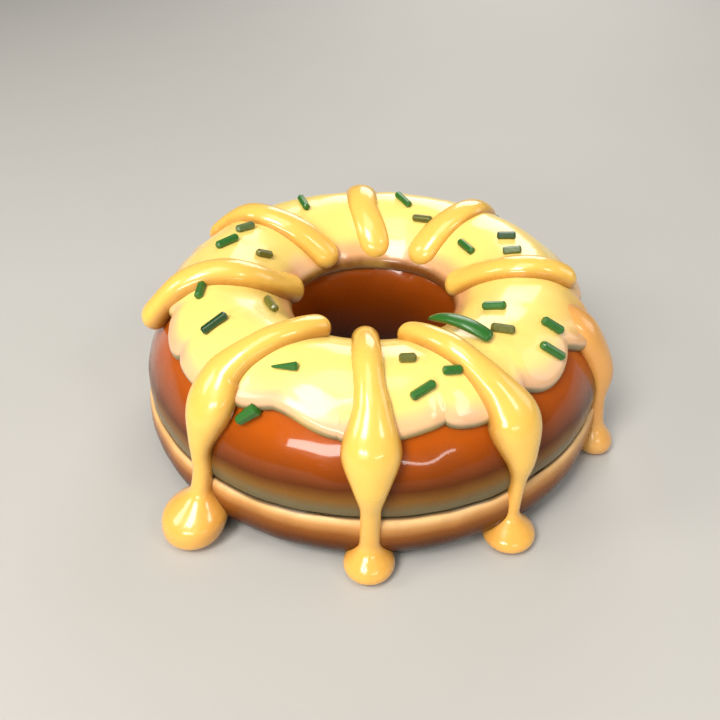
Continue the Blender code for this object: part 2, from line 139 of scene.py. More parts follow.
def ripple(points: Array, wavelength: float, seed: int, count: int = 14) -> Array:
    """Gentle unevenness in space: the sum of plane sine waves in seeded directions.

    Args:
        points: Points, with x, y and z last.
        wavelength: Mean length of the waves, in metres.
        seed: Number that fixes the directions.
        count: How many waves are added.

    Returns:
        A number at each point, mostly between -1 and 1.
    """
    draw = np.random.default_rng(seed)
    ways = unit(draw.normal(size=(count, 3))) * (2 * math.pi / wavelength)
    ways = ways * draw.uniform(0.7, 1.5, size=(count, 1))
    phases = draw.uniform(0, 2 * math.pi, count)
    return np.sin(points @ ways.T + phases).sum(axis=-1) / math.sqrt(count)


@dataclass(frozen=True)
class RingForm:
    """The ring that everything lies on: its sizes, its unevenness and its places."""

    ring_radius: float = 29.7 * MM
    reach_out: float = 15.1 * MM
    reach_in: float = 14.9 * MM
    upper_level: float = 13.1 * MM
    dough_rise: float = 19.1 * MM
    shoulder_slope: float = 0.062
    swell: tuple = ((2, 0.0025, 0.6), (3, 0.002, 2.1), (5, 0.001, 4.0))
    heave: tuple = ((2, 0.004, 1.9), (3, 0.003, 0.4), (7, 0.001, 3.0))
    axis: tuple[float, float] = (0.0, 0.0)

    def section_point(self, arc: Array) -> tuple[Array, Array]:
        """Point of the upper lobe: an ellipse whose outer shoulder falls inside it.

        Args:
            arc: Arcs round the section, in degrees.

        Returns:
            How far out and how far up each point is from the middle of the section.
        """
        turn = np.radians(arc)
        outer = np.cos(turn) > 0
        shoulder = np.where(outer & (np.sin(turn) > 0), np.sin(2 * turn) ** 2, 0)
        size = 1 - self.shoulder_slope * shoulder
        reach = np.where(outer, self.reach_out, self.reach_in)
        return reach * np.cos(turn) * size, self.dough_rise * np.sin(turn) * size

    def section(self, arc: Array) -> tuple[Array, Array, Array, Array]:
        """Point of the section and its normal: the tangent over 0.4 degrees, turned outwards.

        Args:
            arc: Arcs round the section, in degrees.

        Returns:
            Radius, height, and the outward and upward parts of the normal.
        """
        arc = np.asarray(arc, float)
        out, up = self.section_point(arc)
        (out_1, up_1), (out_0, up_0) = self.section_point(arc + 0.2), self.section_point(arc - 0.2)
        size = np.hypot(out_1 - out_0, up_1 - up_0)
        return (self.ring_radius + out, self.upper_level + up,
                (up_1 - up_0) / size, (out_0 - out_1) / size)

    def on_ring(self, heading: Array, arc: Array, lift: Array) -> Array:
        """Points at a height over the dough: the section's point plus its normal times the lift."""
        radius, height, out, up = self.section(arc)
        return turned(np.radians(heading), radius + out * lift, height + up * lift)

    def outwards(self, heading: Array, arc: Array) -> Array:
        """Outward directions: the section's normal, turned round the axis."""
        _, _, out, up = self.section(arc)
        return turned(np.radians(heading), out, up)

    def settle(self, points: Array) -> Array:
        """Points in the part's place: swollen and heaved by sine waves of the heading, then moved.

        Args:
            points: Points round an axis through the origin.

        Returns:
            The same points as the finished part has them.
        """
        heading = np.arctan2(points[..., 1], points[..., 0])
        swell, heave = (1 + sum(share * np.sin(waves * heading + phase) for waves, share, phase in table)
                        for table in (self.swell, self.heave))
        settled = points * np.stack([swell, swell, heave], axis=-1)
        settled[..., 0] += self.axis[0]
        settled[..., 1] += self.axis[1]
        return settled


@dataclass
class Patch:
    """A grid of points, each row a closed ring, with numbers that its finish reads."""

    points: Array
    values: dict[str, Array] = field(default_factory=dict)
    closed: bool = False

    def faces(self, first: int) -> Array:
        """Quads between each ring and the next.

        Args:
            first: Index of the patch's first point in the mesh.

        Returns:
            Four indices a face.
        """
        rows, sides = self.points.shape[:2]
        row = np.arange(rows if self.closed else rows - 1)[:, None]
        side = np.arange(sides)[None, :]
        low, high = row * sides, (row + 1) % rows * sides
        after = (side + 1) % sides
        quads = np.stack([low + side, low + after, high + after, high + side], axis=-1)
        return quads.reshape(-1, 4) + first


def show(name: str, data: Optional[bpy.types.ID]) -> bpy.types.Object:
    """A new object at the origin, linked to the scene."""
    item = bpy.data.objects.new(name, data)
    bpy.context.scene.collection.objects.link(item)
    return item


def piece_from(name: str, patches: Sequence[Patch], material: bpy.types.Material,
               rounded: bool = True) -> bpy.types.Object:
    """One object from patches: their rings joined by quads, doubled points merged, faces outwards.

    Args:
        name: Name of the object.
        patches: The patches; an end ring that shrinks to a point closes the shape there.
        material: Its finish.
        rounded: Whether the faces are shaded as one smooth surface.

    Returns:
        The object, linked to the scene, at the origin.
    """
    starts = np.cumsum([0] + [patch.points.shape[0] * patch.points.shape[1] for patch in patches])
    points = np.concatenate([patch.points.reshape(-1, 3) for patch in patches])
    faces = np.concatenate([patch.faces(int(start)) for patch, start in zip(patches, starts)])
    mesh = bpy.data.meshes.new(name)
    mesh.from_pydata(points, [], faces.tolist())
    for label in patches[0].values:
        column = np.concatenate([np.broadcast_to(patch.values[label], patch.points.shape[:2]).ravel()
                                 for patch in patches])
        mesh.attributes.new(label, "FLOAT", "POINT").data.foreach_set("value", column.astype(np.float32))
    work = bmesh.new()
    work.from_mesh(mesh)
    bmesh.ops.remove_doubles(work, verts=work.verts, dist=2e-7)
    bmesh.ops.dissolve_degenerate(work, edges=work.edges, dist=1e-8)
    bmesh.ops.recalc_face_normals(work, faces=work.faces)
    work.to_mesh(mesh)
    work.free()
    mesh.polygons.foreach_set("use_smooth", np.full(len(mesh.polygons), rounded))
    mesh.materials.append(material)
    return show(name, mesh)


def sums(operation: str, reflected: bool = False) -> Callable[["Value", Any], "Value"]:
    """A method of Value that adds a Math node for a value and another.

    Args:
        operation: The node's operation.
        reflected: Whether the other comes first.

    Returns:
        The method.
    """
    def method(this: "Value", other: Any) -> "Value":
        """The operation on the two."""
        return this.finish.maths(operation, *((other, this) if reflected else (this, other)))

    return method


class Value:
    """A number that changes over a surface; sums with it add Math nodes."""

    __add__, __radd__ = sums("ADD"), sums("ADD", True)
    __sub__, __rsub__ = sums("SUBTRACT"), sums("SUBTRACT", True)
    __mul__, __rmul__ = sums("MULTIPLY"), sums("MULTIPLY", True)
    __pow__ = sums("POWER")

    def __init__(self, finish: "FinishTree", socket: bpy.types.NodeSocket) -> None:
        """Wrap a socket of a finish."""
        self.finish = finish
        self.socket = socket


class FinishTree:
    """The nodes of one material, round its Principled shader."""

    def __init__(self, name: str, **uniform: Any) -> None:
        """Make the material.

        Args:
            name: Name of the material.
            **uniform: Shader sockets that are the same all over, with _ for each space.
        """
        self.material = bpy.data.materials.new(name)
        self.material.use_nodes = True
        self.tree = self.material.node_tree
        self.shader = self.tree.nodes["Principled BSDF"]
        for label, value in uniform.items():
            self.shader.inputs[label.replace("_", " ")].default_value = value

    def feed(self, socket: bpy.types.NodeSocket, value: Any) -> None:
        """Link a value or a socket to a socket, or set a plain number or colour on it."""
        if isinstance(value, Value):
            value = value.socket
        if isinstance(value, bpy.types.NodeSocket):
            self.tree.links.new(value, socket)
        else:
            socket.default_value = value

    def node(self, kind: str, settings: Optional[dict] = None,
             inputs: Optional[dict] = None) -> bpy.types.Node:
        """Add a node: its settings are set first, then its sockets.

        Args:
            kind: Type of the node.
            settings: Its settings; stops gives a ramp's positions and colours.
            inputs: Values or links by the name or number of the socket.

        Returns:
            The node.
        """
        node = self.tree.nodes.new(kind)
        for label, value in (settings or {}).items():
            if label == "stops":
                self.fill_ramp(node.color_ramp, value)
            else:
                setattr(node, label, value)
        for label, value in (inputs or {}).items():
            self.feed(node.inputs[label], value)
        return node

    @staticmethod
    def fill_ramp(ramp: bpy.types.ColorRamp, stops: Sequence[tuple[float, Colour]]) -> None:
        """Give a ramp its stops, first to last."""
        while len(ramp.elements) < len(stops):
            ramp.elements.new(1.0)
        for element, (position, colour) in zip(ramp.elements, stops):
            element.position = position
            element.color = (*colour, 1.0)

    def maths(self, operation: str, *values: Any) -> Value:
        """A Math node's result for one to three values."""
        node = self.node("ShaderNodeMath", {"operation": operation}, dict(enumerate(values)))
        return Value(self, node.outputs[0])

    def place(self) -> bpy.types.NodeSocket:
        """The object coordinates."""
        return self.node("ShaderNodeTexCoord").outputs["Object"]

    def split(self, vector: bpy.types.NodeSocket) -> tuple[Value, Value, Value]:
        """The three parts of a vector."""
        parts = self.node("ShaderNodeSeparateXYZ", inputs={0: vector}).outputs
        return Value(self, parts[0]), Value(self, parts[1]), Value(self, parts[2])

    def step(self, value: Value, low: float, high: float) -> Value:
        """Smooth step of a value from 0 at low to 1 at high."""
        node = self.node("ShaderNodeMapRange", {"interpolation_type": "SMOOTHSTEP"},
                         {"Value": value, "From Min": low, "From Max": high, "To Min": 0.0, "To Max": 1.0})
        return Value(self, node.outputs["Result"])

    def ramp(self, value: Value, stops: Sequence[tuple[float, Colour]]) -> bpy.types.NodeSocket:
        """The colour that a ramp gives a value."""
        return self.node("ShaderNodeValToRGB", {"stops": stops}, {"Fac": value}).outputs["Color"]

    def mix(self, share: Any, first: Any, second: Any) -> bpy.types.NodeSocket:
        """Two colours or links mixed by the share of the second."""
        pair = [(*colour, 1.0) if isinstance(colour, tuple) else colour for colour in (first, second)]
        return self.node("ShaderNodeMix", {"data_type": "RGBA"}, {0: share, 6: pair[0], 7: pair[1]}).outputs[2]

    def noise(self, per_metre: float, detail: float = 3.0, roughness: float = 0.5) -> Value:
        """Noise in object coordinates, 0 to 1, with so many lumps a metre."""
        node = self.node("ShaderNodeTexNoise", inputs={
            "Vector": self.place(), "Scale": per_metre, "Detail": detail, "Roughness": roughness})
        return Value(self, node.outputs["Fac"])

    def attribute(self, label: str) -> Value:
        """A number that the mesh carries at its points."""
        return Value(self, self.node("ShaderNodeAttribute", {"attribute_name": label}).outputs["Fac"])

    def bump(self, height: Value, distance: float, strength: float = 1.0,
             before: Optional[bpy.types.NodeSocket] = None) -> bpy.types.NodeSocket:
        """The normal of a surface raised by a height times a distance in metres."""
        inputs = {"Height": height, "Distance": distance, "Strength": strength}
        if before is not None:
            inputs["Normal"] = before
        return self.node("ShaderNodeBump", inputs=inputs).outputs["Normal"]

    def dress(self, **varying: Any) -> bpy.types.Material:
        """Feed what changes over the surface to the shader, and return the material."""
        for label, value in varying.items():
            self.feed(self.shader.inputs[label.replace("_", " ")], value)
        return self.material


@dataclass(frozen=True)
class FriedCrust:
    """Glossy fried dough: pale round the waist and browned above and below, with painted shade darkening its
    underside, the band under the upper lobe's overhang, the crease and the hole.
    """

    axis: tuple[float, float]
    top: float
    crease: float
    roughness: float = 0.2
    # Lower lobe: the crust's brown, with painted shade that darkens it towards the foot.
    lower_crust_and_shade_bands: tuple = (
        (0.0, srgb(28, 11, 2)), (0.06, srgb(40, 16, 2)), (0.14, srgb(66, 30, 5)), (0.2, srgb(98, 50, 12)),
        (0.26, srgb(140, 82, 32)), (0.31, srgb(196, 140, 80)), (0.35, srgb(238, 194, 136)))
    # Upper lobe: the grey over the pale waist just above the crease is painted shade under the overhang; above
    # it, the crust's tan, brown and orange.
    upper_crust_and_shade_bands: tuple = (
        (0.36, srgb(98, 92, 66)), (0.42, srgb(112, 100, 70)), (0.48, srgb(124, 84, 34)),
        (0.54, srgb(90, 42, 4)), (0.62, srgb(134, 60, 5)), (0.75, srgb(176, 80, 8)), (1.0, srgb(186, 90, 18)))
    crease_shade: Colour = srgb(46, 34, 16)
    # Hole: the crust's brown, with painted shade that darkens it lower down.
    hole_crust_and_shade_bands: tuple = ((0.15, srgb(72, 28, 4)), (0.75, srgb(150, 68, 12)))
    hole_from: float = 29 * MM
    hole_full: float = 24 * MM
    blotch_shade: Colour = srgb(112, 50, 12)
    waver: float = 2.2 * MM
    lump_height: float = 0.22 * MM
    pore_depth: float = 0.04 * MM

    def material(self) -> bpy.types.Material:
        """Bands of colour by height, wavered by noise, with painted shade that darkens the hole and the crease,
        and fine pores.

        Returns:
            The material.
        """
        finish = FinishTree("fried_crust", Coat_Roughness=0.06, Coat_IOR=1.38, Specular_IOR_Level=0.1)
        across, along, height = finish.split(finish.place())
        waver = (finish.noise(70, 2.0) - 0.5) * self.waver
        level = (height + waver) * (1 / self.top)
        above = finish.step(height, self.crease - 0.05 * MM, self.crease + 0.05 * MM)
        outside = finish.mix(above, finish.ramp(level, self.lower_crust_and_shade_bands),
                             finish.ramp(level, self.upper_crust_and_shade_bands))
        line = 1 - finish.step(finish.maths("ABSOLUTE", height - self.crease), 0.08 * MM, 0.4 * MM)
        outside = finish.mix(line * 0.85, outside, self.crease_shade)
        offset_x, offset_y = across - self.axis[0], along - self.axis[1]
        radius = (offset_x * offset_x + offset_y * offset_y) ** 0.5
        # Painted shade in the hole, over the crust's brown.
        inwards = 1 - finish.step(radius, self.hole_full, self.hole_from)
        colour = finish.mix(inwards, outside, finish.ramp(level, self.hole_crust_and_shade_bands))
        blotch = finish.noise(260, 4.0, 0.6)
        colour = finish.mix(finish.step(blotch, 0.45, 0.8) * 0.22, colour, self.blotch_shade)
        lumps = finish.bump(finish.noise(420, 3.0), self.lump_height, 0.4)
        normal = finish.bump(finish.noise(2200, 3.0, 0.6), self.pore_depth, 0.35, lumps)
        gloss = finish.step(blotch, 0.3, 0.8) * 0.12 + self.roughness
        varnish = finish.step(level, 0.5, 0.66) * 0.8 + 0.12
        return finish.dress(Base_Color=colour, Roughness=gloss, Coat_Weight=varnish, Normal=normal)


@dataclass(frozen=True)
class ButterIcing:
    """Soft pale icing: butter yellow on top and blushing cream at the rim, with painted shade under its lip,
    along the line where it meets the dough, down its edge into the hole and down its run.
    """

    roughness: float = 0.26
    top: Colour = srgb(250, 220, 122)
    rim: Colour = srgb(222, 176, 136)
    # The next four colours are painted shade: grey-green under the lip, a dark line where the icing meets the
    # dough, and brown fading to peach where it turns down into the hole.
    under: Colour = srgb(128, 118, 78)
    contact_shade: Colour = srgb(52, 44, 20)
    inner_rim_shade: Colour = srgb(122, 72, 30)
    inner_blush_shade: Colour = srgb(226, 168, 116)
    # Painted shade: darker peach-orange on the icing that runs down the side.
    run: Colour = srgb(222, 160, 84)
    cloud_tint: Colour = srgb(252, 214, 112)
    sag_depth: float = 0.35 * MM
    grain_depth: float = 0.03 * MM

    def material(self) -> bpy.types.Material:
        """Colour by the distance from the edge, in millimetres, with painted shade near both edges and down the
        run, and soft sags in the surface.

        Returns:
            The material.
        """
        finish = FinishTree("butter_icing", Coat_Weight=0.5, Coat_Roughness=0.1, IOR=1.45)
        distance = finish.attribute("from_edge") + (finish.noise(160, 2.0) - 0.5) * 0.9
        # Painted shade at the outer edge: the dark line, then grey-green under the lip, then the rim's blush.
        outer = finish.mix(finish.step(distance, -0.1, 0.35), self.contact_shade, self.under)
        outer = finish.mix(finish.step(distance, 0.4, 1.3), outer, self.rim)
        outer = finish.mix(finish.step(distance, 2.2, 6.0), outer, self.top)
        # Painted shade down the edge into the hole, fading into the top's yellow.
        inner = finish.mix(finish.step(distance, -0.1, 0.4), self.contact_shade, self.inner_rim_shade)
        inner = finish.mix(finish.step(distance, 1.4, 3.4), inner, self.inner_blush_shade)
        inner = finish.mix(finish.step(distance, 3.4, 7.5), inner, self.top)
        colour = finish.mix(finish.attribute("hole_side"), outer, inner)
        # Painted shade down the run.
        run_shade_share = finish.attribute("run") * finish.step(distance, 0.8, 2.4)
        colour = finish.mix(run_shade_share, colour, self.run)
        cloud = finish.noise(120, 3.0)
        colour = finish.mix(finish.step(cloud, 0.4, 0.75) * 0.3, colour, self.cloud_tint)
        sags = finish.bump(finish.noise(240, 2.0), self.sag_depth, 0.3)
        normal = finish.bump(finish.noise(1600, 2.0), self.grain_depth, 0.25, sags)
        gloss = finish.step(cloud, 0.3, 0.7) * 0.12 + self.roughness
        return finish.dress(Base_Color=colour, Roughness=gloss, Normal=normal)


@dataclass(frozen=True)
class ButterDrizzle:
    """Glossy drizzle: butter yellow on its back, with painted shade that makes it golden down its sides and
    olive-brown where it touches.
    """

    roughness: float = 0.22
    back: Colour = srgb(240, 192, 88)
    # Painted shade: golden down the sides, olive-brown at the foot where the line touches.
    side: Colour = srgb(190, 134, 54)
    foot: Colour = srgb(118, 88, 36)
    pool: Colour = srgb(234, 168, 74)
    pool_heights: tuple[float, float] = (4 * MM, 20 * MM)
    cloud_tint: Colour = srgb(250, 198, 88)
    lump_height: float = 0.3 * MM

    def material(self) -> bpy.types.Material:
        """Colour by how far round the line a point lies, from its back to where it touches: painted shade
        darkens the sides and the foot.

        Returns:
            The material.
        """
        finish = FinishTree("butter_drizzle", Coat_Weight=0.6, Coat_Roughness=0.08, IOR=1.46)
        crest = finish.attribute("crest") + (finish.noise(200, 2.0) - 0.5) * 0.3
        # Painted shade from the foot up the sides to the back.
        colour = finish.mix(finish.step(crest, -0.7, 0.1), self.foot, self.side)
        colour = finish.mix(finish.step(crest, -0.05, 0.8), colour, self.back)
        height = finish.split(finish.place())[2]
        colour = finish.mix((1 - finish.step(height, *self.pool_heights)) * 0.7, colour, self.pool)
        cloud = finish.noise(180, 3.0)
        colour = finish.mix(finish.step(cloud, 0.45, 0.8) * 0.3, colour, self.cloud_tint)
        normal = finish.bump(finish.noise(340, 2.0), self.lump_height, 0.35)
        gloss = finish.step(cloud, 0.3, 0.7) * 0.1 + self.roughness
        return finish.dress(Base_Color=colour, Roughness=gloss, Normal=normal)


class SprinkleTint(Enum):
    """Where the colours of sprinkles stand on the ramp of greens."""

    DARK = 0.0
    GREEN = 0.3
    OLIVE = 0.65
    GREY = 1.0


@dataclass(frozen=True)
class SugarGreen:
    """Green sugar: dark, plain, olive and grey-green, with a fine grain."""

    roughness: float = 0.35
    greens: tuple = (
        (SprinkleTint.DARK.value, srgb(20, 66, 20)), (SprinkleTint.GREEN.value, srgb(36, 104, 26)),
        (SprinkleTint.OLIVE.value, srgb(98, 100, 32)), (SprinkleTint.GREY.value, srgb(86, 108, 62)))
    grain_shade: Colour = srgb(16, 50, 12)
    grain_depth: float = 0.06 * MM

    def material(self) -> bpy.types.Material:
        """Colour by the tint that each piece carries, with a little mottling.

        Returns:
            The material.
        """
        finish = FinishTree("sugar_green", Coat_Weight=0.5, Coat_Roughness=0.15, IOR=1.48)
        colour = finish.ramp(finish.attribute("tint"), self.greens)
        grain = finish.noise(1500, 3.0, 0.6)
        colour = finish.mix(finish.step(grain, 0.4, 0.75) * 0.35, colour, self.grain_shade)
        normal = finish.bump(grain, self.grain_depth, 0.4)
        gloss = finish.step(grain, 0.3, 0.8) * 0.2 + self.roughness
        return finish.dress(Base_Color=colour, Roughness=gloss, Normal=normal)


@dataclass(frozen=True)
class DoughRing:
    """The fried dough: an upper lobe and a squatter lower lobe that meet in a crease."""

    form: RingForm
    crease_height: float = 11.5 * MM
    crease_depth: float = 0.35 * MM
    crease_share: float = 0.42
    crease_spread: float = 5.0 * MM
    crease_line: float = 0.55 * MM
    crease_width: float = 0.4 * MM
    lower_radius: float = 45.5 * MM
    lower_level: float = 7.0 * MM
    foot_outer: float = 38.7 * MM
    foot_inner: float = 20.7 * MM
    unevenness: float = 0.14 * MM
    headings: int = 400

    def outline(self) -> Array:
        """Outline of the section: ellipses for both lobes, with the crease curled in.

        Returns:
            Radius and height of each point, from the foot outwards and over the top.
        """
        form = self.form
        down = np.radians(np.linspace(-90, 0, 22, endpoint=False))
        up = math.asin(self.crease_share) * np.sin(np.radians(np.linspace(0, 90, 18)))
        rise = (self.crease_height - self.lower_level) / self.crease_share
        turn = np.concatenate([down, up])
        level = self.lower_level + np.where(turn < 0, self.lower_level, rise) * np.sin(turn)
        reach = self.foot_outer + (self.lower_radius - self.foot_outer) * np.cos(turn)
        lower = np.stack([reach, level], axis=1)
        start = math.degrees(math.asin((self.crease_height - form.upper_level) / form.dough_rise))
        arcs = start + (180 - start) * np.linspace(0, 1, 112) ** 1.25
        radius, height, _, _ = form.section(arcs)
        curl = np.clip(1 - (height - self.crease_height) / self.crease_spread, 0, 1)
        curled = radius - self.crease_depth * curl ** 2 * (radius > form.ring_radius)
        upper = np.stack([curled, height], axis=1)
        wall = np.radians(np.linspace(0, 90, 26)[1:])
        bore = self.foot_inner - form.ring_radius + form.reach_in
        inner = np.stack([self.foot_inner - bore * np.cos(wall), form.upper_level * (1 - np.sin(wall))], axis=1)
        flat = np.linspace(self.foot_inner, self.foot_outer, 5)[1:-1]
        foot = np.stack([flat, np.zeros(3)], axis=1)
        loop = np.concatenate([lower, upper[1:], inner, foot])
        line = np.exp(-((loop[:, 1] - self.crease_height) / self.crease_width) ** 2)
        loop[:, 0] -= self.crease_line * line * (loop[:, 0] > form.ring_radius)
        return loop

    def patch(self) -> Patch:
        """The outline turned round the axis, then moved along its normals by a ripple.

        Returns:
            The dough's surface.
        """
        loop = self.outline()
        turn = np.linspace(0, 2 * math.pi, self.headings, endpoint=False)[:, None]
        along = np.roll(loop, -1, axis=0) - np.roll(loop, 1, axis=0)
        normal = unit(np.stack([along[:, 1], -along[:, 0]], axis=1))
        plain = turned(turn, loop[:, 0], loop[:, 1])
        wave = 0.65 * ripple(plain, 26 * MM, 11) + 0.35 * ripple(plain, 9 * MM, 12)
        swell = self.unevenness * wave * smooth(plain[..., 2], 0.5 * MM, 5 * MM)
        radius = loop[:, 0] + normal[:, 0] * swell
        height = loop[:, 1] + normal[:, 1] * swell
        return Patch(self.form.settle(turned(turn, radius, np.maximum(height, 0))), closed=True)

    def build(self, material: bpy.types.Material) -> bpy.types.Object:
        """Make the dough, with the crust's finish."""
        return piece_from("dough_ring", [self.patch()], material)


class Notch(NamedTuple):
    """A notch in the icing's outer edge, and the lobe that follows it."""

    heading: float
    arc: float
    sag: float
    fullness: float
    fold: float = 1.0


@dataclass(frozen=True)
class IcingBlanket:
    """The icing: a thick coat with a rounded lip, hanging in lobes between notches."""

    form: RingForm
    thickness: float = 1.5 * MM
    lip: float = 2.0 * MM
    lip_swell: float = 0.2
    inner_edge: float = 150.0
    arc_per_metre: float = 1.0 / (0.31 * MM)
    root: float = 0.3 * MM
    fold_depth: float = 0.5 * MM
    fold_width: float = 1.3 * MM
    fold_reach: float = 15.0
    run_heading: float = 341.0
    run_spread: float = 9.0
    run_rise: float = 0.7 * MM
    run_start: float = 84.0
    run_full: float = 48.0
    unevenness: float = 0.11 * MM
    stations: int = 36
    notches: tuple[Notch, ...] = (
        Notch(12, 47, 6, 0.6), Notch(38, 46, 6, 0.6), Notch(63, 50, 8, 0.7), Notch(88, 47, 5, 0.6),
        Notch(114, 49, 7, 0.6), Notch(140, 46, 5, 0.6), Notch(163, 50, 7, 0.7), Notch(181, 52, 4, 0.6),
        Notch(197, 55.2, 6, 0.6), Notch(212.3, 47.5, 6, 0.6), Notch(229, 47, 3.6, 1.3),
        Notch(245.5, 50.2, 0, 1.0, 0.0), Notch(261.5, 41, 3.3, 0.6, 0.0), Notch(285.8, 46.7, 7, 0.6),
        Notch(308.5, 49, 8.4, 1.0), Notch(329.6, 51.8, 15, 1.3), Notch(352, 52, 6, 0.6))

    def edge(self) -> tuple[Array, Array]:
        """Outer edge: a smooth step from notch to notch, sagging by a power of 4 t (1 - t).

        Returns:
            Headings, close together at notches, and the arc of the edge at each.
        """
        starts, arcs, sags, fullness, _ = (np.array(column, float)[:, None] for column in zip(*self.notches))
        share = (1 - np.cos(np.pi * np.arange(self.stations) / self.stations))[None, :] / 2
        width = (np.roll(starts, -1) - starts) % 360
        step = smooth(share, 0, 1)
        edge = arcs * (1 - step) + np.roll(arcs, -1) * step - sags * (4 * share * (1 - share)) ** fullness
        return (starts + width * share).ravel(), edge.ravel()

    def depth(self, distance: Array) -> Array:
        """Thickness at a distance from the edge: a quarter circle, swollen at the lip, then level."""
        swell = 1 + self.lip_swell * np.exp(-((distance - self.lip) / self.lip) ** 2)
        return self.thickness * quarter(distance / self.lip) * swell

    def run_share(self, heading: Array, arc: Array) -> Array:
        """How far the icing swells to run over the edge: a bell across it times a smooth step down it."""
        aside = apart(heading, self.run_heading) / self.run_spread
        return np.exp(-aside ** 2) * smooth(arc, self.run_start, self.run_full)

    def folds(self, heading: Array, arc: Array, edge: Array) -> Array:
        """Depth of the folds that rise from the notches: a narrow dip that fades up the icing.

        Args:
            heading: Headings in degrees.
            arc: Arcs in degrees.
            edge: Arc of the edge at each heading.

        Returns:
            How far the surface is lowered, in metres.
        """
        radius = self.form.section(arc)[0]
        depth = np.zeros(np.broadcast_shapes(heading.shape, arc.shape))
        for notch in self.notches:
            aside = np.radians(apart(heading, notch.heading)) * radius
            depth += notch.fold * np.exp(-(aside / self.fold_width) ** 2)
        return self.fold_depth * depth * np.exp(-np.clip(arc - edge, 0, None) / self.fold_reach)

    def patch(self) -> Patch:
        """The coat: out from the dough by its depth, less the folds, and back just inside the dough.

        Returns:
            The icing's surface, with its distance from the edge in millimetres.
        """
        heading, outer = self.edge()
        lip = self.lip * self.arc_per_metre
        steps = lip * 1.8 * np.linspace(0, 1, 17) ** 1.5
        first, last = outer + steps[-1], self.inner_edge - steps[-1]
        rows = [outer + step for step in steps]
        rows += [first + (last - first) * share for share in np.linspace(0, 1, 52)[1:-1]]
        rows += [np.full_like(outer, self.inner_edge - step) for step in steps[::-1]]
        arcs = np.stack(rows, axis=1)
        heading, outer = heading[:, None], outer[:, None]
        distance = np.minimum(arcs - outer, self.inner_edge - arcs) / self.arc_per_metre
        run = self.run_share(heading, arcs)
        level = self.depth(distance) + self.run_rise * run * quarter(distance / self.lip)
        place = self.form.on_ring(heading, arcs, level)
        wave = 0.6 * ripple(place, 20 * MM, 21) + 0.4 * ripple(place, 8 * MM, 22)
        inside = smooth(distance, 0, self.lip)
        level = level + inside * (self.unevenness * wave - self.folds(heading, arcs, outer))
        upper = self.form.on_ring(heading, arcs, level)
        below = arcs[:, ::-4]
        under = self.form.on_ring(heading, below, np.full_like(below, -self.root))
        from_edge = np.concatenate([distance, np.zeros_like(below)], axis=1) / MM
        hole_side = smooth(np.concatenate([arcs, below], axis=1), 100, 130)
        run = np.concatenate([run, np.zeros_like(below)], axis=1)
        points = self.form.settle(np.concatenate([upper, under], axis=1))
        return Patch(points, {"from_edge": from_edge, "hole_side": hole_side, "run": run}, closed=True)

    def build(self, material: bpy.types.Material, run: Patch) -> bpy.types.Object:
        """Make the piece.

        Args:
            material: The icing's finish.
            run: Surface of the drip where the icing runs down to the table.

        Returns:
            The icing.
        """
        level = run.points[..., 2]
        # The run's values select the painted shade of the run in the icing's finish.
        run.values = {"from_edge": np.full_like(level, 3.0), "hole_side": np.zeros_like(level),
                      "run": np.ones_like(level)}
        return piece_from("icing_blanket", [self.patch(), run], material)


@dataclass(frozen=True)
class Drop:
    """The part of a line that runs down the side and pools on the table."""

    heading: float
    bulge: float
    stem: float
    pool: float
    pool_level: float
    flare: float
    reach: float
    foot: float
    bulge_height: float = 24.5 * MM
    stem_height: float = 15.0 * MM


@dataclass(frozen=True)
class DrizzleLine:
    """One line of drizzle, from its round end by the hole outwards."""

    name: str
    heading: float
    arc_in: float
    arc_out: float
    swirl: float
    bend: float
    power: float
    trail: float
    radius: float
    flat: float
    lift: float
    drop: Optional[Drop] = None
    prop: float = 0.0
    prop_from: float = 80.0


